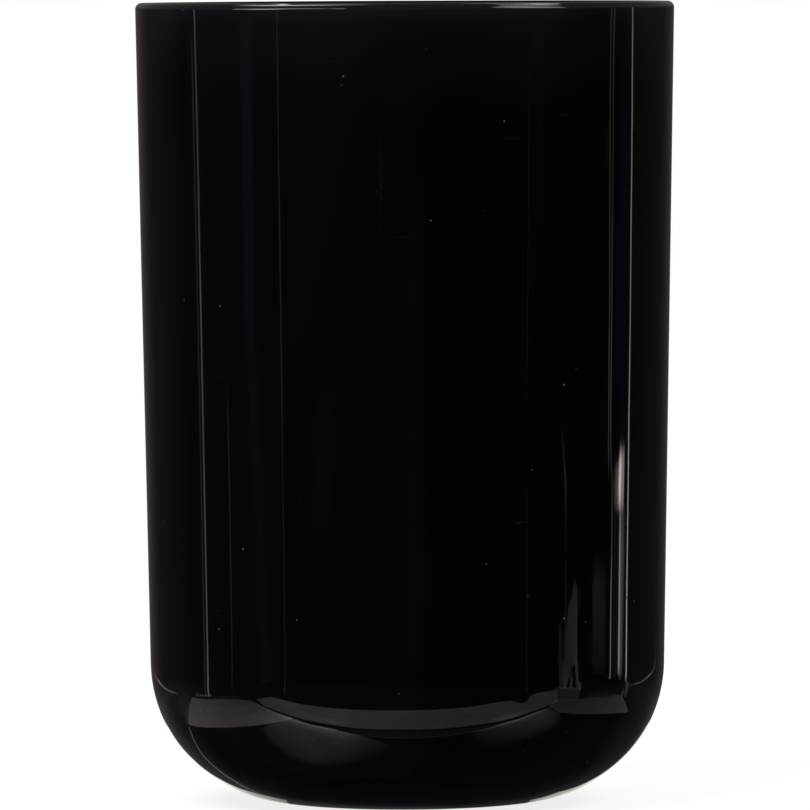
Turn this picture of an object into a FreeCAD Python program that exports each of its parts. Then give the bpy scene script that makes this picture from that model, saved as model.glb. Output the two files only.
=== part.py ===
"""Bathroom tumbler cup: a moulded gloss cup and the soft pad glued into the foot.

Millimetres. +Z is up, the axis of the cup is the Z axis, and the origin is the middle of the
face that the cup stands on.
"""

import FreeCAD
import Part

import math
import os

# Driving sizes of the cup
overall_height = 110.0
mouth_diameter = 74.0       # outside, where the wall's line meets the plane of the lip
heel_diameter = 70.0        # outside, where the wall's line meets the plane of the foot
heel_round = 19.2           # outside round between the wall and the foot
lip_thickness = 2.2         # wall at the mouth
heel_thickness = 2.6        # wall at the heel: the core has more draft than the cavity
floor_thickness = 3.0
lip_round_share = 0.4       # round on each side of the lip, as a share of its thickness

# Driving sizes of the foot and its pad
foot_land = 3.0             # flat ring of the foot, outside the pad's seat
foot_edge_break = 0.3       # bevel on the inner edge of the ring
pad_thickness = 1.2         # a disc cut from sheet, with square edges
pad_proud = 0.3             # how far the pad stands out of its seat
pad_side_gap = 0.2          # between the pad and the wall of its seat

# Heights and radii that follow
foot_plane = pad_proud
seat_ceiling = pad_thickness
floor_top = foot_plane + floor_thickness
mouth_radius = mouth_diameter / 2
heel_radius = heel_diameter / 2
lip_round = lip_thickness * lip_round_share
inner_mouth_radius = mouth_radius - lip_thickness
inner_heel_round = heel_round - heel_thickness
seat_radius = heel_radius - heel_round - foot_land
pad_radius = seat_radius - pad_side_gap

Z_AXIS = FreeCAD.Vector(0, 0, 1)
ORIGIN = FreeCAD.Vector(0, 0, 0)
FULL_TURN = 360.0           # degrees


def radius_at(height, low_radius, high_radius):
    """Radius of a drafted wall that runs from the plane of the foot to the plane of the lip."""
    climbed = (height - foot_plane) / (overall_height - foot_plane)
    return low_radius + (high_radius - low_radius) * climbed


def round_arcs(before, corner, after, size):
    """Two equal arcs that round a corner of a section, so that no face is turned from a wide arc."""
    to_before = (before - corner).normalize()
    to_after = (after - corner).normalize()
    half_angle = to_before.getAngle(to_after) / 2
    reach = size / math.tan(half_angle)
    bisector = (to_before + to_after).normalize()
    centre = corner + bisector * (size / math.sin(half_angle))
    start = corner + to_before * reach
    middle = centre - bisector * size
    end = corner + to_after * reach
    arcs = []
    for low, high in ((start, middle), (middle, end)):
        outward = ((low + high) / 2 - centre).normalize()
        arcs.append(Part.Arc(low, centre + outward * size, high))
    return arcs


def section_wire(corners):
    """Closed half section in the XZ plane, from (radius, height, round) corners. A round of zero is sharp."""
    points = [FreeCAD.Vector(radius, 0, height) for radius, height, size in corners]
    edges = []
    ends = []
    for index, (radius, height, size) in enumerate(corners):
        before, corner = points[index - 1], points[index]
        after = points[(index + 1) % len(points)]
        if size > 0:
            arcs = round_arcs(before, corner, after, size)
            edges.extend(arc.toShape() for arc in arcs)
            ends.append((arcs[0].StartPoint, arcs[-1].EndPoint))
        else:
            ends.append((corner, corner))
    for index, (start, end) in enumerate(ends):
        following = ends[(index + 1) % len(ends)][0]
        edges.append(Part.LineSegment(end, following).toShape())
    return Part.Wire(Part.__sortEdges__(edges))


def turned(corners):
    """Solid made by turning a half section about the Z axis."""
    face = Part.Face(section_wire(corners))
    return face.revolve(ORIGIN, Z_AXIS, FULL_TURN)


def cup_body():
    """Cup shell: drafted walls, a big round at the heel, a rounded lip and a seat for the pad in the foot."""
    inner_heel_radius = radius_at(floor_top, heel_radius - heel_thickness, inner_mouth_radius)
    return turned([
        (0, floor_top, 0),
        (inner_heel_radius, floor_top, inner_heel_round),
        (inner_mouth_radius, overall_height, lip_round),
        (mouth_radius, overall_height, lip_round),
        (heel_radius, foot_plane, heel_round),
        (seat_radius + foot_edge_break, foot_plane, 0),
        (seat_radius, foot_plane + foot_edge_break, 0),
        (seat_radius, seat_ceiling, 0),
        (0, seat_ceiling, 0),
    ])


def base_pad():
    """Soft disc that fills the seat and stands proud of the foot, so that the cup does not slide."""
    return turned([
        (0, 0, 0),
        (pad_radius, 0, 0),
        (pad_radius, pad_thickness, 0),
        (0, pad_thickness, 0),
    ])


def main():
    os.makedirs("parts", exist_ok=True)
    pieces = {"cup_body": cup_body(), "base_pad": base_pad()}
    for name, shape in pieces.items():
        assert shape.isValid() and len(shape.Solids) == 1, name
        shape.exportStep(f"parts/{name}.step")
        box = shape.optimalBoundingBox(False)
        print(f"{name}: {shape.Volume:.0f} mm3, {box.XLength:.2f} x {box.YLength:.2f} x {box.ZLength:.2f} mm")


main()
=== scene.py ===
import math
import random

import bpy
from mathutils import Matrix, Vector

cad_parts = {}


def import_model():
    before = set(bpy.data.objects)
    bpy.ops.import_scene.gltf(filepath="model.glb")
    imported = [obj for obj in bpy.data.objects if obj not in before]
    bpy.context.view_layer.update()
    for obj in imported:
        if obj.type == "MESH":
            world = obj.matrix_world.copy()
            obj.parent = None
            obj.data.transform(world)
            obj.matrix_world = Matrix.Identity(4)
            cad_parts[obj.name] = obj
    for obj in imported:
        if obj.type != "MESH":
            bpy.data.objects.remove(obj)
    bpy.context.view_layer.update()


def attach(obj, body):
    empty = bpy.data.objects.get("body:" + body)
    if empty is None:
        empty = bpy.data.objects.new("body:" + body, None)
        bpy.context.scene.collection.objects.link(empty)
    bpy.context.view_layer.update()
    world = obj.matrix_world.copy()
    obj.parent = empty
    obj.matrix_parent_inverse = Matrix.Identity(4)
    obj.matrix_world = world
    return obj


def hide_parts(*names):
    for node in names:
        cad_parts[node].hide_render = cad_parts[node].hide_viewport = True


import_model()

# A bathroom tumbler cup: gloss black moulding and the foam pad under its foot, in a small studio.
# Lengths are in millimetres until a mesh is made. The nodes of a material count in metres.
# Azimuths on the studio's tent are in degrees from the camera's side, with plus to the camera's right.
MM = 0.001

# Sizes of the cup, as in the CAD source
overall_height = 110.0
mouth_radius = 37.0
heel_radius = 35.0
heel_round = 19.2
lip_thickness = 2.2
heel_thickness = 2.6
floor_thickness = 3.0
lip_round = 0.88
foot_land = 3.0
foot_edge_round = 0.3
pad_thickness = 1.2
pad_proud = 0.3
pad_side_gap = 0.2
pad_edge_round = 0.12       # here alone: the CAD source leaves the edge square

foot_plane = pad_proud
floor_top = foot_plane + floor_thickness
seat_radius = heel_radius - heel_round - foot_land
pad_radius = seat_radius - pad_side_gap
inner_mouth_radius = mouth_radius - lip_thickness
inner_heel_round = heel_round - heel_thickness

# Mesh
cup_segments = 320
pad_segments = 160
wall_row = 1.6              # height of a row of faces on the walls
pad_row = 0.6               # the same on the pad
round_row_angle = 2.2       # degrees of a round that one row of faces spans
least_round_rows = 4
sharp_angle = 40.0          # degrees between two faces from which their edge is shaded sharp

# The camera, as fitted to the photograph's outline
camera_distance = 1300.0
camera_height = 115.774
aim_height = 55.0
focal_pixels = 9464.0
image_pixels = 810
axis_pixel = (406.31, 402.1)
camera_roll = -0.0043
sensor_width = 36.0
nearest_seen = 10.0
farthest_seen = 40000.0

# The studio
tent_radius = 600.0         # where the gaps and panes of light stand
cloth_radius = 640.0
tent_top = 900.0
overhead_radius = 540.0     # of the lights high up, from the middle of the mouth
floor_reach = 3000.0
floor_level = -0.02         # a hair under the pad, so that the two share no surface
white_from = 100.0          # distance from the cup at which the floor starts to turn plain white
white_beyond = 700.0
shadow_share = 0.3          # how much of the floor's own light and shadow shows, under the white
world_light = 0.45          # strength of the world's light on the object

# Cards of light
card_step = 0.00003         # share of its distance by which each card lies inside the last
floor_card_step = 0.002     # height of each card on the floor over the last
least_card_rows = 24
card_rows_per_run = 6
glint_half = 0.5            # half the width of the tray's bright rim
tray_edge_half = 0.4        # half the width of the dark line in front of the front sheet
pool_edge_half = 0.16       # the same, behind the line
arc_strength = 1.15         # what the strengths of the arcs of light are multiplied by


# Meshes

def link(obj):
    bpy.context.scene.collection.objects.link(obj)
    return obj


def mesh_object(name, points, faces):
    mesh = bpy.data.meshes.new(name)
    mesh.from_pydata([Vector(point) * MM for point in points], [], faces)
    mesh.update()
    return link(bpy.data.objects.new(name, mesh))


def rounded(before, corner, after, size):
    """Points of a true round of a section's corner, from its start to its end."""
    corner = Vector(corner)
    to_before = (Vector(before) - corner).normalized()
    to_after = (Vector(after) - corner).normalized()
    half_angle = to_before.angle(to_after) / 2
    reach = size / math.tan(half_angle)
    centre = corner + (to_before + to_after).normalized() * (size / math.sin(half_angle))
    start = corner + to_before * reach - centre
    end = corner + to_after * reach - centre
    turn = start.angle_signed(end)
    steps = max(least_round_rows, math.ceil(abs(math.degrees(turn)) / round_row_angle))
    points = []
    for step in range(steps + 1):
        spin = Matrix.Rotation(-turn * step / steps, 2)
        points.append(centre + spin @ start)
    return points


def section(corners, row):
    """A section as (radius, height) points, from (radius, height, round) corners.

    A round of zero is sharp. Long runs are cut into rows.
    """
    places = [Vector(corner[:2]) for corner in corners]
    outline = []
    for index, (radius, height, size) in enumerate(corners):
        if size > 0:
            outline.extend(rounded(places[index - 1], places[index], places[index + 1], size))
        else:
            outline.append(places[index])
    points = [outline[0]]
    for start, end in zip(outline, outline[1:]):
        rows = max(1, round((end - start).length / row))
        for step in range(1, rows + 1):
            points.append(start.lerp(end, step / rows))
    return points


def turned(name, points, segments, offset=None):
    """A closed mesh turned about the Z axis from a section that starts and ends on it."""
    rings = points[1:-1]
    vertices = [(0, 0, points[0].y), (0, 0, points[-1].y)]
    for radius, height in rings:
        for segment in range(segments):
            angle = 2 * math.pi * segment / segments
            r = radius + (offset(radius, height, angle) if offset else 0)
            vertices.append((r * math.cos(angle), r * math.sin(angle), height))
    faces = []
    for segment in range(segments):
        following = (segment + 1) % segments
        faces.append((0, 2 + following, 2 + segment))
        last = 2 + (len(rings) - 1) * segments
        faces.append((1, last + segment, last + following))
        for ring in range(len(rings) - 1):
            low = 2 + ring * segments
            high = low + segments
            faces.append((low + segment, low + following, high + following, high + segment))
    obj = mesh_object(name, vertices, faces)
    obj.data.shade_smooth()
    obj.data.set_sharp_from_angle(angle=math.radians(sharp_angle))
    return obj


# Pieces

def radius_at(height, low_radius, high_radius):
    """Radius of a drafted wall that runs from the plane of the foot to the plane of the lip."""
    climbed = (height - foot_plane) / (overall_height - foot_plane)
    return low_radius + (high_radius - low_radius) * climbed


def moulding_waves(seed, count, height, shortest, longest):
    """Waves about a thousandth of a millimetre high, which make straight reflections waver a little.

    Their lengths round the cup are drawn between the shortest and the longest. The flat foot has none.
    """
    turn = 6.3                          # about a full turn, in radians
    slowest, fastest = 0.01, 0.12       # radians to a millimetre up the wall
    draw = random.Random(seed)
    waves = []
    for _ in range(count):
        length = draw.uniform(shortest, longest)
        around = round(2 * math.pi * mouth_radius / length)
        upward = draw.uniform(slowest, fastest)
        phase = draw.uniform(0, turn)
        shift = draw.uniform(0, turn)
        waves.append((height * length / longest, around, upward, phase, shift))

    def offset(radius, z, angle):
        if radius < heel_radius - heel_round:
            return 0
        total = 0
        for size, around, upward, phase, shift in waves:
            total += size * math.sin(around * angle + phase) * math.sin(upward * z + shift)
        return total - height
    return offset


def cup_body():
    inner_heel_radius = radius_at(floor_top, heel_radius - heel_thickness, inner_mouth_radius)
    corners = [
        (0, floor_top, 0),
        (inner_heel_radius, floor_top, inner_heel_round),
        (inner_mouth_radius, overall_height, lip_round),
        (mouth_radius, overall_height, lip_round),
        (heel_radius, foot_plane, heel_round),
        (seat_radius, foot_plane, foot_edge_round),
        (seat_radius, pad_thickness, 0),
        (0, pad_thickness, 0),
    ]
    waves = moulding_waves(seed=7, count=5, height=0.0012, shortest=12, longest=40)
    return turned("cup_body_shell", section(corners, wall_row), cup_segments, waves)


def base_pad():
    corners = [
        (0, 0, 0),
        (pad_radius, 0, pad_edge_round),
        (pad_radius, pad_thickness, 0),
        (0, pad_thickness, 0),
    ]
    return turned("base_pad_foam", section(corners, pad_row), pad_segments)


# Materials

class Nodes:
    """Short calls for the nodes of a material or a world."""

    def __init__(self, owner):
        self.owner = owner
        owner.use_nodes = True
        self.tree = owner.node_tree
        self.tree.nodes.clear()

    def feed(self, socket, value):
        """Give an input socket another node's output, a number, a vector or a colour."""
        if isinstance(value, bpy.types.NodeSocket):
            self.tree.links.new(value, socket)
        elif socket.type == "RGBA":
            socket.default_value = (*value, 1)
        else:
            socket.default_value = value

    def add(self, kind, inputs=None, **settings):
        """A node with its settings, and with inputs given by name."""
        node = self.tree.nodes.new("ShaderNode" + kind)
        for key, value in settings.items():
            setattr(node, key, value)
        for key, value in (inputs or {}).items():
            self.feed(node.inputs[key], value)
        return node

    def here(self):
        return self.add("TexCoord").outputs["Object"]

    def noise(self, where, scale, detail):
        return self.add("TexNoise", {"Vector": where, "Scale": scale, "Detail": detail}).outputs["Fac"]

    def cells(self, where, scale):
        """Many scattered cells, with the distance from the middle of each."""
        return self.add("TexVoronoi", {"Vector": where, "Scale": scale}, feature="F1", distance="EUCLIDEAN")

    def draw(self, cells):
        """A random number from 0 to 1 for each cell."""
        return self.add("SeparateColor", {"Color": cells.outputs["Color"]}).outputs["Red"]

    def span(self, value, low, high, to_low=0.0, to_high=1.0, smooth=False):
        """The value's run from low to high, mapped to another run and held at its ends."""
        limits = {"From Min": low, "From Max": high, "To Min": to_low, "To Max": to_high}
        kind = "SMOOTHSTEP" if smooth else "LINEAR"
        node = self.add("MapRange", {"Value": value, **limits}, interpolation_type=kind)
        return node.outputs["Result"]

    def math(self, operation, first, second):
        node = self.add("Math", operation=operation)
        self.feed(node.inputs[0], first)
        self.feed(node.inputs[1], second)
        return node.outputs["Value"]

    def mix(self, share, low, high):
        return self.add("MixRGB", {"Fac": share, "Color1": low, "Color2": high}).outputs["Color"]

    def bump(self, inputs):
        return self.add("Bump", inputs).outputs["Normal"]

    def both(self, first, second):
        """The light of two shaders together."""
        node = self.add("AddShader")
        self.feed(node.inputs[0], first)
        self.feed(node.inputs[1], second)
        return node.outputs["Shader"]

    def either(self, share, first, second):
        """The first shader at a share of 0 and the second at 1."""
        node = self.add("MixShader", {"Fac": share})
        self.feed(node.inputs[1], first)
        self.feed(node.inputs[2], second)
        return node.outputs["Shader"]

    def show(self, surface, output="OutputMaterial"):
        """Wire a shader to the output, and give back the material or world."""
        self.add(output, {"Surface": surface})
        return self.owner


def material_nodes(name):
    return Nodes(bpy.data.materials.new(name))


def cup_gloss():
    """Jet black gloss plastic: faint haze, orange peel, dust, hairline scratches, wear at lip and foot."""
    lip_wear_reach = 1.4
    foot_wear_reach = 0.6
    peel_depth = 0.0000025
    dust_depth = 0.00002
    dust_rough = 0.5
    scratch_rough = 0.2
    black, hazy_black = (0.0003, 0.0003, 0.00035), (0.0006, 0.00055, 0.0006)
    worn_tone = (0.02, 0.02, 0.02)
    dust_tone = (0.07, 0.065, 0.062)
    scratch_tone = (0.006, 0.006, 0.006)

    n = material_nodes("cup_gloss")
    here = n.here()
    height = n.add("SeparateXYZ", {"Vector": here}).outputs["Z"]
    haze = n.noise(here, scale=45, detail=3)
    rub = n.noise(here, scale=900, detail=2)
    peel = n.noise(here, scale=260, detail=1)
    lip = n.span(height, (overall_height - lip_wear_reach) * MM, overall_height * MM, smooth=True)
    foot = n.span(height, (foot_plane + foot_wear_reach) * MM, foot_plane * MM, smooth=True)

    specks = n.cells(here, scale=280)
    speck = n.span(specks.outputs["Distance"], 0.044, 0.028)
    dust = n.math("MULTIPLY", speck, n.span(n.draw(specks), 0.3, 1.0))
    drawn_out = n.add("Mapping", {"Vector": here, "Rotation": (0.25, -0.2, 0), "Scale": (70, 70, 800)})
    hairlines = n.cells(drawn_out.outputs["Vector"], scale=1)
    hairline = n.span(hairlines.outputs["Distance"], 0.13, 0.05)
    scratch = n.math("MULTIPLY", hairline, n.span(n.draw(hairlines), 0.955, 0.99))

    tone = n.mix(n.span(haze, 0.35, 0.7), black, hazy_black)
    colour = n.mix(n.math("MULTIPLY", foot, rub), tone, worn_tone)
    colour = n.mix(dust, colour, dust_tone)
    colour = n.mix(scratch, colour, scratch_tone)

    rough = n.span(haze, 0.3, 0.75, 0.025, 0.045)
    for more in (
            n.math("MULTIPLY", lip, n.span(rub, 0.45, 0.75, 0, 0.015)),
            n.math("MULTIPLY", foot, n.span(rub, 0.3, 0.7, 0.05, 0.3)),
            n.math("MULTIPLY", dust, dust_rough),
            n.math("MULTIPLY", scratch, scratch_rough)):
        rough = n.math("ADD", rough, more)

    surface = n.bump({"Height": peel, "Distance": peel_depth})
    surface = n.bump({"Height": dust, "Distance": dust_depth, "Normal": surface})
    shader = n.add("BsdfPrincipled", {
        "IOR": 1.5, "Base Color": colour, "Roughness": rough, "Normal": surface})
    return n.show(shader.outputs["BSDF"])


def pad_rubber():
    """Dark grey foam rubber with fine closed cells."""
    grain_depth = 0.00006
    cell_depth = 0.00005
    dark_patch, light_patch = (0.036, 0.036, 0.038), (0.052, 0.052, 0.054)
    cell_tone = (0.02, 0.02, 0.021)

    n = material_nodes("pad_rubber")
    here = n.here()
    cell_distance = n.cells(here, scale=3200).outputs["Distance"]
    grain = n.noise(here, scale=1400, detail=3)
    patches = n.noise(here, scale=130, detail=2)
    tone = n.mix(n.span(patches, 0.35, 0.65), dark_patch, light_patch)
    colour = n.mix(n.span(cell_distance, 0.1, 0.6, 0.0, 0.4), tone, cell_tone)
    rough = n.span(grain, 0.3, 0.7, 0.8, 0.95)
    surface = n.bump({"Height": grain, "Distance": grain_depth})
    surface = n.bump({"Height": cell_distance, "Distance": cell_depth, "Normal": surface})
    shader = n.add("BsdfPrincipled", {
        "IOR": 1.5, "Specular IOR Level": 0.35, "Base Color": colour, "Roughness": rough, "Normal": surface})
    return n.show(shader.outputs["BSDF"])


# The studio: a black tent with thin gaps of light, which only the cup's gloss sees. The cloth's light and
# shade are painted into its glow

def spread(values, share):
    """The value at a share of the way along a list of numbers or points, on straight runs."""
    place = share * (len(values) - 1)
    index = min(int(place), len(values) - 2)
    part = place - index
    low, high = values[index], values[index + 1]
    return low + (high - low) * part


def rise(value, low, high):
    """0 up to low, 1 from high on, and smooth between."""
    x = min(1.0, max(0.0, (value - low) / (high - low)))
    return x * x * (3 - 2 * x)


def fade(share, width):
    """0 at the edge of a card and 1 beyond its fading width."""
    return rise(share, 0, width) if width > 0 else 1.0


def places_across(sides):
    """Places across a card from 0 to 1, close together where its sides fade."""
    steps = (0, 0.25, 0.5, 0.75, 1)
    low = [sides[0] * step for step in steps]
    high = [1 - sides[1] * step for step in steps]
    middle = [low[-1] + (high[-1] - low[-1]) * step for step in steps]
    return sorted({round(place, 5) for place in low + high + middle})


def seen_in_gloss_only(obj):
    obj.visible_camera = False
    obj.visible_diffuse = False
    obj.visible_transmission = False
    obj.visible_volume_scatter = False
    obj.visible_shadow = False


def glow_material(name, see_through, mottled=False):
    """Shines as bright as the mesh's own glow says. A see-through card adds to what is behind it."""
    n = material_nodes(name)
    glow = n.add("Attribute", attribute_name="glow")
    light = n.add("Emission", {"Color": glow.outputs["Color"]})
    if mottled:
        here = n.here()
        soft = n.span(n.noise(here, scale=190, detail=3), 0.3, 0.7, 0.9, 1.1)
        crumpled = n.span(n.noise(here, scale=620, detail=2), 0.62, 0.72, 1.0, 0.82)
        n.feed(light.inputs["Strength"], n.math("MULTIPLY", soft, crumpled))
    surface = light.outputs["Emission"]
    if see_through:
        surface = n.both(surface, n.add("BsdfTransparent").outputs["BSDF"])
    made = n.show(surface)
    made.cycles.emission_sampling = "NONE"
    return made


card_glow = glow_material("card_glow", see_through=True)
sheet_glow = glow_material("sheet_glow", see_through=True, mottled=True)
painted_cloth_glow = glow_material("painted_cloth_glow", see_through=False)


def paint(obj, colours, material):
    """Give each point of a mesh its own glow, and let only gloss see it."""
    layer = obj.data.attributes.new("glow", "FLOAT_COLOR", "POINT")
    for item, colour in zip(layer.data, colours):
        item.color = (*colour, 1)
    obj.data.materials.append(material)
    seen_in_gloss_only(obj)
    return obj


cards = []


def card(name, edge_a, edge_b, glow, sides=(0.3, 0.3), ends=(0, 0), tint=(1, 1, 1), material=card_glow):
    """A glowing card between two edges, each a list of points.

    glow is a list of strengths along it, each a number or a pair, for edge a and edge b.
    sides and ends are the shares of its width and length over which it fades out.
    Each card lies a hair inside the last, so that no two share a surface.
    """
    nearer = 1 - card_step * len(cards)
    edge_a = [Vector(point) for point in edge_a]
    edge_b = [Vector(point) for point in edge_b]
    glow = [Vector(item) if isinstance(item, tuple) else Vector((item, item)) for item in glow]
    places = places_across(sides)
    row = len(places)
    rows = max(least_card_rows, card_rows_per_run * (len(edge_a) - 1))
    points, colours, faces = [], [], []
    for i in range(rows + 1):
        t = i / rows
        strength = spread(glow, t) * fade(t, ends[0]) * fade(1 - t, ends[1])
        start, end = spread(edge_a, t), spread(edge_b, t)
        for v in places:
            points.append(start.lerp(end, v) * nearer)
            across = fade(v, sides[0]) * fade(1 - v, sides[1])
            shine = (strength.x + (strength.y - strength.x) * v) * across
            colours.append([shine * part for part in tint])
    for i in range(rows):
        for j in range(row - 1):
            corner = i * row + j
            faces.append((corner, corner + 1, corner + row + 1, corner + row))
    cards.append(paint(mesh_object(name, points, faces), colours, material))


def on_tent(azimuth, height):
    angle = math.radians(azimuth)
    return (tent_radius * math.sin(angle), -tent_radius * math.cos(angle), height)


def gap(name, width, runs, **more):
    """An upright gap of light in the tent, from low to high. Each run is (height, azimuth, strength)."""
    low_side = [on_tent(azimuth - width / 2, height) for height, azimuth, strength in runs]
    high_side = [on_tent(azimuth + width / 2, height) for height, azimuth, strength in runs]
    card(name, low_side, high_side, [strength for height, azimuth, strength in runs], **more)


def pane(name, runs, **more):
    """A broad light in the tent, from low to high.

    Each run is (height, azimuth, other azimuth, strength or pair of strengths).
    """
    low_side = [on_tent(low, height) for height, low, high, strength in runs]
    high_side = [on_tent(high, height) for height, low, high, strength in runs]
    card(name, low_side, high_side, [strength for height, low, high, strength in runs], **more)


# Tints of the cloth's painted glow, which its painted shades multiply
neutral = Vector((1.0, 1.0, 1.0))
blue = Vector((0.78, 0.62, 1.5))
violet = Vector((0.85, 0.75, 0.85))
warm = Vector((1.15, 0.95, 0.9))
rosy = Vector((1.0, 0.92, 1.02))
pale_rosy = Vector((1.0, 0.95, 1.0))
pale_blue = Vector((0.96, 0.95, 1.15))


def cloth_shade(azimuth, height):
    """Painted light and shade of the black cloth, as its glow: bluish on the left, lighter behind the cup
    and above its mouth.
    """
    plain = 0.011
    left_light = 0.026
    left_of_middle_light = 0.009
    side_light = 0.011 if azimuth < 0 else 0.013
    far_left_light = Vector((0.013, 0.007, 0.009))
    above_light = Vector((0.165, 0.15, 0.17))
    high_light = 0.1
    side = abs(azimuth)
    shade = neutral * plain

    # The left, with an edge that leans to the middle higher up
    edge = 50 - 0.5 * max(0.0, height - 10)
    left = rise(-azimuth, edge - 8, edge + 8) * (1 - rise(side, 98, 112)) * rise(height, -120, -60)
    shade += violet.lerp(blue, rise(height, -30, 20)) * left_light * left

    # Far round both sides, and left of the middle
    shade += neutral * side_light * rise(side, 104, 116)
    shade += far_left_light * rise(-azimuth, 100, 114)
    shade += neutral * left_of_middle_light * rise(-azimuth, -14, 2) * (1 - rise(-azimuth, 40, 54))

    # Behind the cup
    back = 0.026 * rise(side, 140, 162) + 0.06 * rise(side, 160, 178)
    back *= 1 + 0.35 * rise(-azimuth, 0, 1)
    shade += warm * back * (1 - 0.8 * rise(height, 85, 130))

    # Above the mouth
    far_left = rise(-azimuth, 96, 108)
    above = 1 - 0.6 * rise(side, 45, 100) - 0.32 * rise(side, 105, 145)
    above *= rise(height, 62 + 11 * rise(azimuth, 60, 95) + 20 * far_left, 112 - 12 * far_left)
    shade += above_light * above
    shade += neutral * high_light * rise(height, 105, 200) * rise(side, 50, 70)

    # Below the foot
    low = 0.01 + 0.02 * rise(-azimuth, -10, 40) + 0.01 * rise(azimuth, 90, 110)
    shade += rosy * low * rise(-height, 70, 120)
    return shade.lerp(low_cloth_shade(azimuth, height), rise(-height, 110, 170))


def low_cloth_shade(azimuth, height):
    """Painted light and shade of the cloth near the floor and under it."""
    plain = 0.018
    front_left_light = 0.02
    side = abs(azimuth)
    front_left = rise(-azimuth, -25, 5) * (1 - rise(-azimuth, 100, 130))
    behind = 0.017 if azimuth > 0 else 0.014 + 0.028 * rise(side, 132, 158)
    behind *= rise(side, 118, 134) * (1 - rise(-height, 300, 400))
    return pale_rosy * (plain + behind) + pale_blue * front_left_light * front_left


def tent():
    """The black cloth all round, closed over the cup and under it, glowing with painted light and shade."""
    count = 120
    heights = [
        -320, -200, -140, -110, -90, -70, -50, 0, 10, 30, 50, 62, 68, 74, 80, 86, 92, 98, 105, 112, 200, 700]
    # Each row is its radius, its height, and the height that its shade is taken at
    rows = [(30, -322, -800), (480, -321, -400)]
    rows += [(cloth_radius, height, height) for height in heights]
    rows += [(0, tent_top, tent_top)]
    points, colours, faces = [], [], []
    for radius, height, shade_height in rows:
        for step in range(count):
            azimuth = -180 + 360 * step / count
            angle = math.radians(azimuth)
            points.append((radius * math.sin(angle), -radius * math.cos(angle), height))
            colours.append(cloth_shade(azimuth if radius else 0, shade_height))
    for row in range(len(rows) - 1):
        for step in range(count):
            following = (step + 1) % count
            low, high = row * count, (row + 1) * count
            faces.append((low + step, low + following, high + following, high + step))
    faces.append(tuple(range(count)))
    paint(mesh_object("tent", points, faces), colours, painted_cloth_glow)


def rim_flag():
    """A narrow dark card close over the far rim, which keeps the softboxes off it. Its dim glow is painted
    shade.
    """
    inner_radius, outer_radius = 32.5, 40
    height = 112.8
    half_span = 56              # degrees to each side of the cup's back
    steps = 32
    # The card's glow is painted shade: dim in the middle and falling from left to right
    middle_shade = 0.08
    shade_slope = 0.0005        # fall of the shade to a millimetre, from left to right
    points, colours = [], []
    for step in range(steps + 1):
        angle = math.radians(90 + half_span * (2 * step / steps - 1))
        for radius in (inner_radius, outer_radius):
            x = radius * math.cos(angle)
            points.append((x, radius * math.sin(angle), height))
            colours.append([middle_shade - shade_slope * x] * 3)
    faces = [(2 * step, 2 * step + 1, 2 * step + 3, 2 * step + 2) for step in range(steps)]
    paint(mesh_object("rim_flag", points, faces), colours, painted_cloth_glow)


def left_lights():
    """What the wall mirrors left of the middle."""
    gap("gap_left", 1.1, [
        (-150, -101.2, 1.4), (-63, -98.8, 1.4), (-37, -98.4, 1.2), (-23, -98.25, 1.0), (7, -98.2, 0.85),
        (36, -98.2, 1.0), (50, -98.2, 0.75), (66, -98.2, 0.65), (92, -98.6, 0.65), (110, -98.8, 1.2),
        (160, -99.5, 1.2)])
    gap("gap_left_faint", 0.9, [
        (-150, -103.2, 0.28), (-64, -101.0, 0.28), (-37, -100.5, 0.26), (7, -100.3, 0.22),
        (36, -100.3, 0.22), (66, -100.6, 0.26), (92, -100.8, 0.26)], ends=(0, 0.1))
    gap("gap_lower_left", 0.9, [
        (-120, -84.4, 0.08), (-38, -82.8, 0.14), (-25, -82.6, 0.2), (-5, -82.5, 0.22), (12, -82.6, 0.14),
        (20, -83.4, 0.0)])
    gap("gap_corner_left", 0.7, [
        (-150, -56.2, 0.2), (-44, -54.6, 0.18), (-27, -54.5, 0.15), (2, -54.5, 0.18), (12, -54.4, 0.28),
        (32, -54.3, 0.26), (48, -54.3, 0.34), (61, -54.3, 0.2), (87, -54.3, 0.22), (150, -54.3, 0.22)])
    gap("soft_left", 9, [
        (-70, -64.5, 0.03), (-26, -65, 0.03), (-6, -67, 0.03), (30, -70, 0.045), (62, -69.5, 0.05),
        (90, -69.5, 0.04)], sides=(0.4, 0.4), tint=(0.95, 0.9, 1.4))
    gap("glint_left", 15, [
        (-18, -38, 0.03), (0, -36, 0.035), (18, -34, 0.03)], sides=(0.4, 0.4), ends=(0.4, 0.4))
    gap("glint_middle", 2.6, [
        (38, -10.3, 0.03), (50, -10.3, 0.05), (58, -10.3, 0.06), (66, -10.3, 0.03)],
        sides=(0.5, 0.5), ends=(0.4, 0.4))
    gap("warm_middle", 13, [
        (-48, 3.5, 0.026), (20, 3.5, 0.026), (70, 4, 0.02)],
        sides=(0.35, 0.35), ends=(0.1, 0.3), tint=(1.0, 0.05, 0.45))


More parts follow.
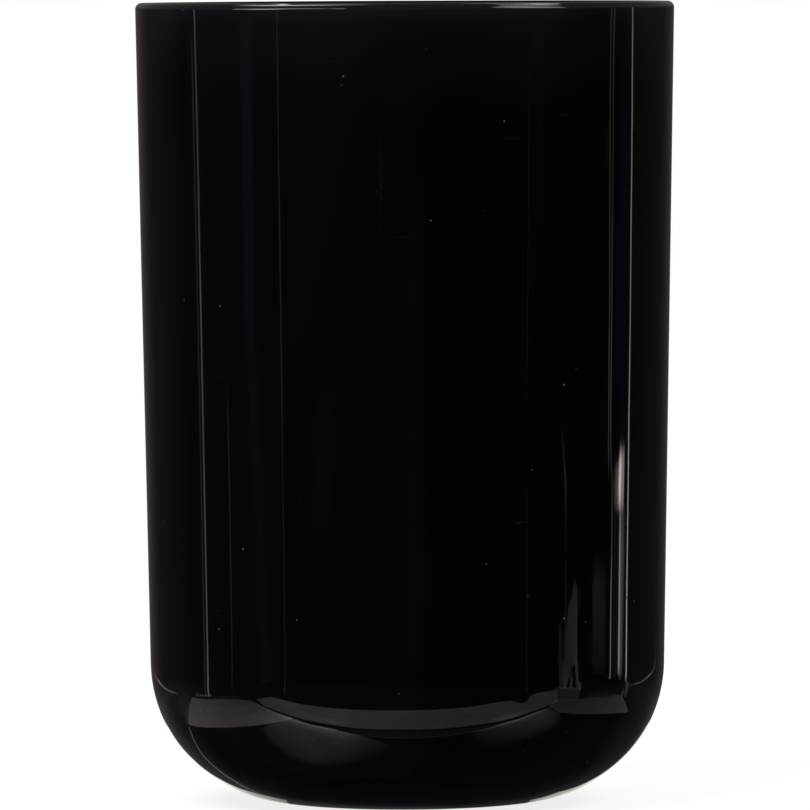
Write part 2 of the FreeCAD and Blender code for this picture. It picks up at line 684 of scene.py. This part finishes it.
def right_lights():
    """What the wall mirrors right of the middle: thin gaps and a window."""
    gap("gap_corner_right", 0.7, [
        (-150, 54.2, 0.12), (-42, 53.0, 0.1), (-16, 52.8, 0.09), (4, 52.8, 0.03), (24, 52.8, 0.08),
        (61, 52.9, 0.1), (80, 53.0, 0.04)])
    gap("gap_right_a", 0.8, [
        (0, 98.2, 0.0), (6, 97.7, 0.5), (20, 97.4, 0.5), (36, 97.2, 0.48), (65, 96.4, 0.36),
        (83, 96.1, 0.33), (88, 96.15, 0.3), (94, 96.45, 0.34), (120, 96.7, 0.36)])
    gap("gap_right_b", 0.9, [
        (-66, 100.6, 1.8), (-30, 100.5, 1.8), (-20, 100.5, 1.5), (-14, 100.6, 0.7), (-7, 100.7, 0.45),
        (0, 100.4, 0.25), (6, 99.3, 0.3), (11, 98.9, 0.5), (24, 98.8, 0.55), (36, 98.7, 0.45),
        (50, 98.6, 0.35), (65, 98.4, 0.2), (83, 98.1, 0.3), (88, 98.1, 0.36), (94, 98.35, 0.38),
        (120, 98.6, 0.4)])
    gap("gap_right_c", 1.1, [
        (-84, 113.8, 0.2), (-78, 113.5, 0.9), (-60, 113.1, 3.0), (-34, 112.8, 3.2), (-22, 112.5, 3.1),
        (-4, 112.5, 2.6), (11, 112.4, 2.5), (24, 112.4, 2.0), (38, 112.4, 1.5), (55, 112.1, 1.7),
        (67, 112.0, 1.6), (85, 111.6, 1.4), (95, 111.4, 1.2), (160, 111.0, 1.2)])
    gap("gap_right_tail", 3.2, [
        (-150, 117.2, 0.12), (-119, 116.4, 0.2), (-100, 115.8, 0.26), (-84, 115.2, 0.26), (-76, 115.0, 0)])
    pane("window_core", [
        (-5, 104.6, 109.0, 1.4), (0, 104.5, 109.4, 2.2), (5, 104.8, 109.4, 2.1), (9, 106.2, 109.6, 0.9)],
        sides=(0.08, 0.12), ends=(0.12, 0.15), tint=(1.12, 0.97, 0.93))
    pane("window_bright", [
        (-5, 105.0, 107.3, 2.5), (0, 104.9, 107.4, 4.5), (4, 105.2, 107.5, 4.0), (7.5, 106, 107.6, 1.5)],
        sides=(0.3, 0.5), ends=(0.15, 0.2), tint=(1.1, 0.98, 0.95))
    pane("window_haze", [
        (-5, 100.9, 104.9, 0.65), (0, 100.7, 104.9, 1.0), (5, 101.6, 105.2, 0.8)],
        sides=(1.0, 0.08), ends=(0.1, 0.2), tint=(1.05, 0.98, 1.0))
    gap("window_edge", 1.7, [
        (-58, 107, 0), (-50, 106.9, 0.5), (-43, 106.8, 1.3), (-38, 106.8, 2.4), (-34, 106.8, 2.6),
        (-22, 106.7, 2.6), (-10, 106.6, 2.3), (-6, 106.6, 1.6), (-4, 106.5, 0.4)], sides=(0.35, 0.35))
    pane("window_shelf", [
        (-74, 107.8, 109.8, 0.1), (-56, 107.4, 109.8, 0.35), (-34, 107.4, 110.4, 0.6),
        (-10, 107.4, 110.8, 0.6), (-3, 107.4, 110.8, 0.3)], sides=(0.05, 0.8))
    pane("haze_blue_far", [
        (5, 101, 110, 0.02), (90, 101, 110, 0.02)],
        sides=(0.2, 0.2), ends=(0.2, 0.2), tint=(0.5, 0.55, 1.5))
    pane("haze_blue_near", [
        (38, 53, 60, 0.02), (92, 53, 60, 0.02)], sides=(0.2, 0.2), ends=(0.2, 0.2), tint=(0.5, 0.55, 1.5))
    pane("haze_grey", [(60, 93, 96, 0.03), (70, 93, 96, 0.03)], ends=(0.3, 0.3))


def fold_lights():
    """Folds of grey cloth that the wall mirrors low on its right, as glowing cards with their light and
    shade painted in.
    """
    gap("fold_faint_a", 1.2, [(-60, 102.9, 0.09), (-8, 102.9, 0.09), (-4, 102.9, 0.0)])
    gap("fold_faint_b", 0.9, [(-60, 104.6, 0.1), (-8, 104.7, 0.1), (-4, 104.8, 0.0)])
    gap("thread_right", 0.9, [
        (-17, 72.5, 0.02), (-10, 72.4, 0.1), (-5, 72.4, 0.26), (-2, 72.1, 0.4), (1, 71.4, 0.28),
        (4, 70.8, 0.22), (7.5, 69.8, 0.1)])
    gap("fold_edge", 0.8, [
        (-118, 73.6, 0.16), (-62, 73.2, 0.16), (-38, 72.8, 0.12), (-30, 72.7, 0.15), (-24, 72.7, 0.17),
        (-19, 72.6, 0.1), (-18, 72.6, 0)])
    pane("fold_left", [
        (-118, 72.6, 75.4, (0.16, 0.26)), (-92, 72.2, 74.6, (0.16, 0.27)),
        (-62, 71.4, 75.2, (0.15, 0.25)), (-41, 70.6, 76.6, (0.14, 0.24)), (-38, 70.6, 79.0, (0.12, 0.24))],
        sides=(0.1, 0.15), tint=(1.05, 0.95, 0.95))
    pane("fold_middle", [
        (-118, 76.2, 78.6, 0.32), (-92, 75.9, 77.5, 0.33), (-62, 75.6, 77.6, 0.3),
        (-50, 75.9, 77.2, 0.26), (-44, 76.0, 77.0, 0.1)], sides=(0.3, 0.3), tint=(1.05, 0.96, 0.97))
    pane("fold_right", [
        (-118, 80.6, 82.6, 0.26), (-92, 79.4, 82.2, 0.27), (-62, 79.0, 80.6, 0.34),
        (-41, 78.4, 80.2, 0.42), (-37, 78.2, 80.0, 0.3)], sides=(0.25, 0.2))
    pane("fold_front", [
        (-38, 72.4, 79.9, (0.12, 0.31)), (-36, 72.4, 79.8, (0.15, 0.31)), (-32, 72.4, 79.7, (0.15, 0.3)),
        (-29.5, 73.6, 79.5, (0.26, 0.28)), (-27, 74.1, 79.8, (0.27, 0.28)),
        (-26, 75.2, 79.8, (0.25, 0.27)), (-24.5, 76.2, 79.7, (0.22, 0.25)), (-23, 76.8, 79.0, 0.2),
        (-21.5, 77.4, 78.4, 0.1)], sides=(0.06, 0.08), tint=(1.05, 0.97, 0.98))
    gap("fold_beside", 1.8, [
        (-118, 71.2, 0.17), (-62, 70.5, 0.17), (-40, 69.9, 0.14), (-32, 69.8, 0.11), (-29, 69.7, 0.0)])
    gap("fold_shade", 2.4, [
        (-118, 72.4, 0.08), (-60, 71.7, 0.09), (-34, 71.2, 0.04), (-30, 71.0, 0)], tint=(1.1, 0.92, 0.95))
    gap("fold_speck", 1.0, [(-27, 80.8, 0), (-25.5, 80.8, 0.08), (-23.5, 80.8, 0.08), (-22.5, 80.8, 0)])
    gap("fold_corner", 1.5, [(-132, 83.1, 0.1), (-124, 82.9, 0.32), (-82, 81.9, 0.32), (-72, 81.6, 0)])
    gap("soft_right_a", 7.5, [
        (-46, 90.6, 0.02), (-35, 90.6, 0.07), (-26, 90.6, 0.13), (-20, 90.6, 0.13), (-15, 91.4, 0.0)],
        sides=(0.5, 0.5))
    gap("soft_right_b", 7.5, [
        (-46, 94.8, 0.02), (-35, 94.8, 0.07), (-26, 94.7, 0.11), (-20, 94.7, 0.08), (-15, 94.8, 0.0)],
        sides=(0.5, 0.5))


def arc_light(name, runs, thickness):
    """A thin light that climbs round the tent. Each run is (azimuth, height, strength)."""
    lower = [on_tent(azimuth, height - thickness / 2) for azimuth, height, strength in runs]
    upper = [on_tent(azimuth, height + thickness / 2) for azimuth, height, strength in runs]
    glow = [strength * arc_strength for azimuth, height, strength in runs]
    card(name, lower, upper, glow, sides=(0.35, 0.35))


def side_lights():
    """Thin lights that the start of the heel's round mirrors, close to the outline."""
    arc_light("arc_left", [
        (-158, -38, 0.02), (-155, -44, 0.06), (-152, -50, 0.12), (-148.3, -60.5, 0.36),
        (-144.2, -73.5, 0.34), (-140.6, -84, 0.28), (-137, -93.5, 0.27), (-133.6, -102, 0.29),
        (-130.5, -109, 0.29), (-128.5, -113.5, 0.12), (-127, -117, 0)], thickness=9.5)
    arc_light("arc_right", [
        (116, -98, 0.02), (118.6, -95, 0.09), (121.2, -90, 0.15), (124, -86, 0.24), (127, -81.5, 0.25),
        (130, -74, 0.23), (133, -65.5, 0.25), (136.2, -55.5, 0.36), (138.5, -50.5, 0.26),
        (140.5, -46, 0.16), (143.5, -35, 0.06), (146, -29, 0.01)], thickness=10)
    pane("haze_heel_left", [
        (-250, -137, -118, 0), (-215, -137, -118, 0.045), (-180, -138, -116, 0.06),
        (-140, -136, -114, 0.04), (-110, -134, -112, 0.01)], sides=(0.5, 0.3), tint=(0.92, 0.95, 1.12))


# Edge of a tray in front of the cup, from left to right, which shows as a dark line between pale sheets
tray_edge = [
    (-62, -37.9), (-52, -39.5), (-42, -41), (-32, -42.1), (-22, -43.5), (-12, -44.4), (-2, -45.4), (8, -45),
    (18, -44.2), (28, -42.6), (38, -41.8), (48, -40.6), (57.6, -38.5)]


def beside(line, shift):
    return [(x, y + shift) for x, y in line]


def floor_card(name, edge_a, edge_b, glow, sides, **more):
    """A card that lies on the floor, between two edges of (x, y) points."""
    level = floor_card_step * len(cards)
    lying_a, lying_b = ([(x, y, level) for x, y in edge] for edge in (edge_a, edge_b))
    card(name, lying_a, lying_b, glow, sides, material=sheet_glow, **more)


def glint(name, runs):
    """The tray's bright rim. Each run is (x, y, strength)."""
    line = [(x, y) for x, y, strength in runs]
    glow = [strength for x, y, strength in runs]
    floor_card(name, beside(line, -glint_half), beside(line, glint_half), glow, (0.3, 0.3))


def sheet_lights():
    """Pale sheets on both sides of the cup and in front of it, which the heel's round mirrors. They are
    glowing cards, with the sheets' light and shade painted into their glow.
    """
    floor_card(
        "sheet_left",
        [(-49.5, 4.6), (-47, -4.1), (-45.3, -10), (-43.7, -15), (-40.5, -23.1), (-37.3, -29.8),
         (-35.2, -34.5), (-33, -41.4)],
        [(-81, 8), (-79, 1), (-77, -5), (-75.5, -12), (-74.5, -20), (-71.5, -28), (-68.5, -33),
         (-64, -37.6)],
        [(0.32, 0.36), (0.42, 0.4), (0.46, 0.4), (0.47, 0.36), (0.49, 0.33), (0.52, 0.32), (0.56, 0.3),
         (0.7, 0.26)],
        (0.02, 0.06), tint=(1.0, 0.84, 0.87))
    floor_card(
        "sheet_left_bright",
        [(-39, -26), (-37.3, -29.8), (-35.2, -34.5), (-33, -41.2)],
        [(-50, -30), (-51, -33), (-50, -36.5), (-49, -39.5)],
        [(0.04, 0), (0.14, 0), (0.34, 0), (0.6, 0)],
        (0.04, 0), tint=(0.98, 0.95, 1.05))
    floor_card(
        "sheet_left_rim",
        [(-74.5, -11), (-73.5, -19), (-70.5, -27), (-67, -33)],
        [(-80, -10), (-80, -20), (-80, -28), (-77, -36)],
        [0.07, 0.07, 0.07, 0.05],
        (0.1, 0.4), ends=(0.1, 0.2), tint=(1.0, 0.84, 0.87))
    floor_card(
        "sheet_left_end",
        [(-50, 4.5), (-60, 6.2), (-72, 6.8)],
        [(-50, 9), (-60, 10), (-73, 11)],
        [0.05, 0.06, 0.05],
        (0, 0.8))
    floor_card(
        "sheet_left_edge",
        [(-94, 8), (-90, 6), (-88, 0), (-86.5, -7), (-85.5, -14)],
        [(-92, 3), (-82, 4), (-80.5, -2), (-79.5, -9), (-79.5, -15)],
        [0.14, 0.27, 0.27, 0.3, 0.16],
        (0.3, 0.3), ends=(0.2, 0.2), tint=(1.0, 0.86, 0.88))
    floor_card(
        "sheet_front",
        beside([(-64.5, -40.5)] + tray_edge[1:11] + [(44.5, -41)], -tray_edge_half),
        [(-65, -50.8), (-55, -53), (-43, -54.6), (-32.6, -56.8), (-22.4, -58.7), (-12, -60.5),
         (-2.7, -61.4), (9, -61.3), (19, -60.9), (28, -60.7), (37, -61), (44.7, -58.6)],
        [(0.28, 0.5), (0.42, 0.58), (0.47, 0.55), (0.52, 0.48), (0.56, 0.5), (0.46, 0.44), (0.4, 0.38),
         (0.36, 0.36), (0.34, 0.36), (0.36, 0.38), (0.36, 0.36), (0.32, 0.34)],
        (0.03, 0.03), tint=(0.97, 0.98, 1.06))
    floor_card(
        "sheet_front_lip",
        [(-12, -60.3), (-2.7, -61.2), (9, -61.1), (17, -60.8)],
        [(-12, -56.5), (-2.7, -57.4), (9, -57.4), (17, -57)],
        [0.05, 0.1, 0.07, 0.02],
        (0.03, 0.8))
    floor_card(
        "sheet_front_patch",
        [(-26, -44.2), (-21, -44.6), (-16, -45)],
        [(-26, -47.6), (-21, -48), (-16, -48.4)],
        [0.1, 0.26, 0.1],
        (0.3, 0.5), ends=(0.3, 0.3))
    floor_card(
        "sheet_front_rim",
        [(22, -44.1), (30, -43.1), (40, -42.3)],
        [(22, -47.5), (30, -47), (40, -46)],
        [0.14, 0.3, 0.12],
        (0.05, 0.6), ends=(0.2, 0.2))
    floor_card(
        "sheet_front_end",
        [(44.6, -41.4), (52, -40.2), (57.8, -39), (66, -42.2), (75, -45.8), (85, -49.6), (97, -54.5)],
        [(44.8, -52.6), (49, -52), (56.4, -56.9), (64.6, -59), (72.4, -58.3), (79.6, -52.6), (97, -54.9)],
        [(0.33, 0.33), (0.29, 0.28), (0.24, 0.34), (0.28, 0.36), (0.28, 0.34), (0.22, 0.18), 0.1],
        (0.02, 0.05))
    floor_card(
        "sheet_front_ray",
        [(57.6, -38.6), (66, -41.6), (75, -45.2), (85, -49.3)],
        [(57.6, -41.2), (65, -44.6), (73, -48.2), (81, -50.8)],
        [0.02, 0.04, 0.05, 0.02],
        (0.2, 0.4))
    floor_card(
        "sheet_right",
        [(58.1, 7), (56.9, 3.1), (55.6, -4.3), (53.8, -11), (51.3, -19.2), (48.3, -26), (45.6, -33),
         (50, -40.2)],
        [(80, 6), (84, 3), (82, -5), (79.5, -11), (77, -18), (73.5, -25), (68, -30), (66, -41.5)],
        [(0.25, 0.24), (0.23, 0.22), (0.2, 0.2), (0.24, 0.18), (0.23, 0.17), (0.24, 0.17), (0.24, 0.14),
         (0.24, 0.14)],
        (0.03, 0.2), tint=(1.0, 0.89, 0.94))
    floor_card(
        "sheet_right_shade",
        [(76, 2), (78, -4), (76, -12), (73, -20), (70, -27)],
        [(98, 6), (98, -4), (96, -12), (94, -20), (92, -28)],
        [(0.06, 0.01), (0.06, 0.01), (0.06, 0.01), (0.05, 0.01), (0.04, 0.01)],
        (0.2, 0.3), ends=(0.2, 0.1), tint=(1.2, 0.9, 1.0))
    floor_card(
        "sheet_right_front",
        [(65, -28), (74, -29), (84, -30), (93, -31.5), (100, -32)],
        [(63, -41), (74, -45.2), (84, -49.3), (93, -53), (97, -53)],
        [(0.12, 0.12), (0.12, 0.15), (0.13, 0.17), (0.18, 0.18), (0.19, 0.18)],
        (0.1, 0.03), tint=(1.05, 0.9, 0.94))
    floor_card(
        "sheet_right_rim",
        [(70, 0.8), (76, 3), (84, 6.5), (92, 10), (99, 13)],
        [(71, 4), (77, 6.4), (84, 9.8), (91, 13.6), (98, 15.5)],
        [0.05, 0.15, 0.24, 0.14, 0.1],
        (0.3, 0.3), ends=(0.2, 0.2))


def pool_lights():
    """The bluish sheen behind the tray's edge, its bright rim, and a thread of light."""
    behind = [
        (-35, -41.2), (-30, -41.4), (-25, -41.5), (-20, -41.8), (-15, -42), (-11, -41.6), (-7, -40.2),
        (-3, -38.4)]
    sheen_reach = 4
    thread_width = 1.2
    floor_card(
        "pool_left",
        behind,
        [(-36.3, -28.5), (-31.6, -27.4), (-27.2, -26.6), (-21, -26.2), (-16.3, -27), (-12.4, -29),
         (-8.8, -31.5), (-3.8, -35)],
        [(0.6, 0.04), (0.46, 0.06), (0.42, 0.07), (0.43, 0.07), (0.41, 0.06), (0.3, 0.03), (0.13, 0.01),
         (0.03, 0)],
        (0.01, 0.16), ends=(0.03, 0.05), tint=(0.99, 0.96, 1.17))
    floor_card(
        "pool_left_near",
        behind[:6],
        beside(behind[:6], sheen_reach),
        [(0.6, 0), (0.56, 0), (0.5, 0), (0.44, 0), (0.36, 0), (0.1, 0)],
        (0.02, 0), tint=(1.0, 0.97, 1.12))
    floor_card(
        "pool_middle",
        beside(tray_edge[4:10], pool_edge_half),
        [(-22, -42.2), (-12, -42), (-2, -42.2), (8, -42), (18, -41.8), (28, -41.5)],
        [0.04, 0.05, 0.05, 0.05, 0.06, 0.06],
        (0.1, 0.1), tint=(0.95, 0.96, 1.2))
    floor_card(
        "pool_right",
        [(14, -41.8), (20, -41.6), (26, -41.4), (32, -41), (38, -40.7), (44, -39.9), (49.5, -39)],
        [(12, -35), (20, -31), (27, -28.5), (33, -27.5), (38.5, -27), (43, -29), (47.5, -33)],
        [(0.08, 0), (0.16, 0), (0.26, 0), (0.34, 0), (0.4, 0.01), (0.36, 0.01), (0.25, 0.02)],
        (0.02, 0.35), ends=(0.1, 0.15), tint=(0.98, 0.97, 1.12))
    floor_card(
        "pool_right_near",
        [(22, -41.4), (30, -41), (38, -40.6), (44, -39.8)],
        [(22, -39.2), (30, -38.9), (38, -38.4), (44, -38)],
        [(0.06, 0), (0.18, 0), (0.2, 0), (0.12, 0)],
        (0.02, 0), ends=(0.2, 0.2), tint=(0.97, 0.97, 1.15))
    glint("tray_glint_left", [
        (-56, -38.2, 0), (-50, -38.5, 0.15), (-44.7, -38.8, 0.25), (-38.5, -39.4, 0.5), (-36, -39.9, 1.1),
        (-33.5, -40.1, 0.25), (-29.3, -40.6, 0.8), (-25.7, -41.1, 0.45), (-22.5, -41.6, 1.3),
        (-18, -42, 0.85), (-16, -41.7, 0.3), (-13, -40.8, 0.1)])
    glint("tray_glint_middle", [(-13, -41.6, 0.1), (0, -41.9, 0.1), (15, -41.8, 0.1)])
    glint("tray_glint_right", [
        (15, -41.7, 0.1), (20.7, -41.5, 0.3), (24.5, -41.5, 0.9), (27.8, -41.4, 0.9), (30.2, -41.1, 1.1),
        (32, -40.9, 0.7), (34.5, -40.9, 1.0), (38, -40.6, 0.8), (42.6, -40.1, 0.4), (48, -38.9, 0.15),
        (53, -37.8, 0.1)])
    thread = [(-48.4, 5), (-36, 1), (-26, -6), (-18, -10)]
    floor_card("thread_left", thread, beside(thread, -thread_width), [0.36, 0.36, 0.3, 0.12], (0.4, 0.4))


def foot_lights():
    """The bright floor behind the foot, which the round mirrors close to its outline."""
    near_left = [
        (-17, -13), (-19.3, -11), (-22.4, -7.1), (-25.2, -2), (-27.7, 3), (-31, 12.3), (-34.5, 22.8),
        (-38.2, 41), (-44, 64)]
    near_right = [
        (17, -12), (18.3, -10.8), (21.4, -8.9), (23.8, -4.8), (26.6, 0.7), (29.4, 6.8), (33.6, 18.2),
        (39.5, 40), (44, 62)]
    glow_left = [0.3, 0.45, 0.62, 0.95, 1.25, 1.3, 1.25, 1.1, 1.0]
    glow_right = [0.3, 0.52, 0.68, 0.78, 1.1, 1.3, 1.25, 1.05, 1.0]
    far = [(15, 0), (16.5, 5), (19, 14), (22, 26), (24.5, 36), (27, 46), (30, 60), (35, 85), (42, 110)]
    haze = 0.01
    haze_out, haze_forward = 4, 7
    for name, side, near, glow in (("left", -1, near_left, glow_left), ("right", 1, near_right, glow_right)):
        mirrored_far = [(side * x, y) for x, y in far]
        floor_card("foot_white_" + name, near, mirrored_far, glow, (0.02, 0), tint=(1.02, 1.0, 0.9))
        outside = [(x + side * haze_out, y - haze_forward) for x, y in near]
        floor_card("foot_haze_" + name, near, outside, [haze] * len(near), (0, 1.0))


def overhead_place(azimuth, elevation):
    a, e = math.radians(azimuth), math.radians(elevation)
    level_reach = overhead_radius * math.cos(e)
    rise_over_lip = overhead_radius * math.sin(e)
    return (level_reach * math.sin(a), -level_reach * math.cos(a), overall_height + rise_over_lip)


def overhead_card(name, runs, **more):
    """A light high up, as seen from the middle of the mouth.

    Each run is (azimuth, elevation, other elevation, strength or pair of strengths).
    """
    lower = [overhead_place(azimuth, low) for azimuth, low, high, strength in runs]
    upper = [overhead_place(azimuth, high) for azimuth, low, high, strength in runs]
    card(name, lower, upper, [strength for azimuth, low, high, strength in runs], **more)


def lip_lights():
    """What the lip's round mirrors."""
    overhead_card("softbox_back_left", [
        (-131, 49, 58, 1), (-122, 51, 60, 6), (-115, 53, 62.5, 10), (-108, 56, 66, 14.5),
        (-102, 58, 68.5, 20), (-95, 61, 72, 18.5), (-88, 65, 75, 11), (-78, 68, 77, 5), (-70, 71, 78, 2)],
        sides=(0.2, 0.25))
    overhead_card("softbox_back_high", [
        (-168, 56, 74, 0.6), (-155, 59, 76, 2.8), (-132, 62, 73, 1.8), (-116, 66, 72, 0.6),
        (-100, 71, 76, 0.4), (-70, 73, 80, 1.4), (-48, 74, 80, 0.9)], sides=(0.35, 0.4))
    overhead_card("spark_left", [
        (-166, 39.5, 42.5, 0.5), (-160, 47, 50, 3.5), (-153, 54, 56.4, 12), (-145, 56.8, 59.2, 12),
        (-134, 59, 61.4, 8)])
    overhead_card("softbox_front_left", [
        (-76, 3, 17, 2.0), (-69, 3, 17, 3.4), (-64.5, 3, 17, 6.5), (-59, 4, 18, 7.5), (-54.5, 7, 21, 6.5),
        (-50, 11, 25, 4), (-45, 12, 26, 3.3), (-40, 12, 26, 2.7), (-36, 12, 26, 2.3), (-32, 12, 26, 1.0),
        (-29, 12, 26, 2.4), (-26.5, 12, 26, 2.8), (-24.8, 12, 26, 1.5)], sides=(0.12, 0.12))
    overhead_card("softbox_left_faint", [
        (-97, 42, 56, 0.7), (-80, 44, 58, 1.1), (-68, 45, 58, 0.6), (-36, 47, 60, 0.3)], sides=(0.3, 0.3))
    overhead_card("softbox_back_right", [
        (97, 54.5, 72, 3.6), (107, 55, 71, 5.9), (112, 54.5, 65.5, 5.9), (120, 54, 62.5, 4.9),
        (135, 53, 61, 3.8), (148, 53, 60, 3.4), (158, 53, 60, 3.0), (168, 53, 59, 1.6)],
        sides=(0.12, 0.2))
    overhead_card("softbox_front_right", [
        (39, 24, 33, 2.4), (46, 16, 42, (3.8, 2.2)), (54, 14, 46, (5.4, 2.6)), (62, 12, 43, (4.2, 2.4)),
        (68, 11, 38, (3.8, 1.8)), (72, 11, 28, (2.4, 0.6))], sides=(0.08, 0.1))
    overhead_card("softbox_right_faint", [
        (50, 42, 48, 1.8), (62, 42, 60, 1.9), (74, 38, 64, 1.9), (84, 42, 62, 1.7), (94, 47, 58, 1.5)],
        sides=(0.12, 0.12))


def floor_mesh():
    """A round floor of rings of faces, about one point in the middle."""
    rings = [60, 150, 300, 500, 800, 1500, floor_reach]
    count = 96
    points = [(0, 0, floor_level)]
    for radius in rings:
        for step in range(count):
            angle = 2 * math.pi * step / count
            points.append((radius * math.cos(angle), radius * math.sin(angle), floor_level))
    faces = []
    for step in range(count):
        following = (step + 1) % count
        faces.append((0, 1 + step, 1 + following))
        for ring in range(len(rings) - 1):
            low = 1 + ring * count
            high = low + count
            faces.append((low + step, high + step, high + following, low + following))
    return mesh_object("floor", points, faces)


def seen_rays(n):
    """1 for the rays of the camera and of mirrored and transmitted views."""
    path = n.add("LightPath")
    total = n.math("ADD", path.outputs["Is Camera Ray"], path.outputs["Is Glossy Ray"])
    total = n.math("ADD", total, path.outputs["Is Transmission Ray"])
    return n.math("MINIMUM", total, 1.0)


def pale_floor():
    """Pale paper for the object's light. In views it is near white, with a share of the paper's shadow."""
    darkest, mean, lightest = 0.80, 0.81, 0.82
    full_lift = 1.03            # own light at which the floor looks white with no paper under it
    lift_for_paper = 0.67       # what the paper's own light takes from that
    n = material_nodes("pale_floor")
    here = n.here()
    grain = n.span(n.noise(here, scale=60, detail=3), 0.3, 0.7)
    paper = n.add("BsdfDiffuse", {"Color": n.mix(grain, (darkest,) * 3, (lightest,) * 3)})
    shaded = n.add("BsdfDiffuse", {"Color": (mean * shadow_share,) * 3})
    lift = n.add("Emission", {"Strength": full_lift - lift_for_paper * shadow_share})
    white = n.add("Emission")

    distance = n.add("VectorMath", operation="LENGTH")
    n.feed(distance.inputs[0], here)
    away = n.span(distance.outputs["Value"], white_from * MM, white_beyond * MM, smooth=True)
    shown = n.both(shaded.outputs["BSDF"], lift.outputs["Emission"])
    shown = n.either(away, shown, white.outputs["Emission"])
    made = n.show(n.either(seen_rays(n), paper.outputs["BSDF"], shown))
    made.cycles.emission_sampling = "NONE"
    return made


def floor():
    """Pale floor with the cup's soft shadow. Far from the cup it turns into the background's plain white."""
    obj = floor_mesh()
    obj.data.materials.append(pale_floor())
    obj.visible_glossy = False


def world():
    """Plain white wherever it is seen, and a weaker light on the object."""
    made = bpy.data.worlds.new("studio")
    bpy.context.scene.world = made
    n = Nodes(made)
    strength = n.span(seen_rays(n), 0, 1, world_light, 1.0)
    back = n.add("Background", {"Color": (1, 1, 1), "Strength": strength})
    n.show(back.outputs["Background"], "OutputWorld")


def lamp(name, place, size, power):
    """A round soft light that points at the middle of the cup."""
    data = bpy.data.lights.new(name, "AREA")
    data.shape = "DISK"
    data.size = size * MM
    data.energy = power
    obj = link(bpy.data.objects.new(name, data))
    obj.location = Vector(place) * MM
    towards = Vector((0, 0, aim_height)) * MM - obj.location
    obj.rotation_euler = towards.to_track_quat("-Z", "Y").to_euler()
    obj.visible_glossy = False


def camera():
    data = bpy.data.cameras.new("camera")
    data.sensor_width = sensor_width
    data.lens = focal_pixels * sensor_width / image_pixels
    middle = image_pixels / 2
    data.shift_x = -(axis_pixel[0] - middle) / image_pixels
    data.shift_y = (axis_pixel[1] - middle) / image_pixels
    data.clip_start = nearest_seen * MM
    data.clip_end = farthest_seen * MM
    obj = link(bpy.data.objects.new("camera", data))
    place = Vector((0, -camera_distance, camera_height)) * MM
    forward = (Vector((0, 0, aim_height)) * MM - place).normalized()
    obj.location = place
    obj.rotation_mode = "QUATERNION"
    look = forward.to_track_quat("-Z", "Y")
    obj.rotation_quaternion = look @ Matrix.Rotation(camera_roll, 3, "Z").to_quaternion()
    bpy.context.scene.camera = obj


def place_piece(piece, node, material):
    piece.data.materials.append(material)
    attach(piece, "root")
    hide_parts(node)


place_piece(cup_body(), "cup_body", cup_gloss())
place_piece(base_pad(), "base_pad", pad_rubber())
tent()
rim_flag()
left_lights()
right_lights()
fold_lights()
side_lights()
sheet_lights()
pool_lights()
foot_lights()
lip_lights()
floor()
world()
lamp("key", place=(-450, -500, 900), size=600, power=8)
lamp("fill", place=(600, -300, 700), size=600, power=4)
camera()
bpy.context.scene.view_settings.view_transform = "Standard"
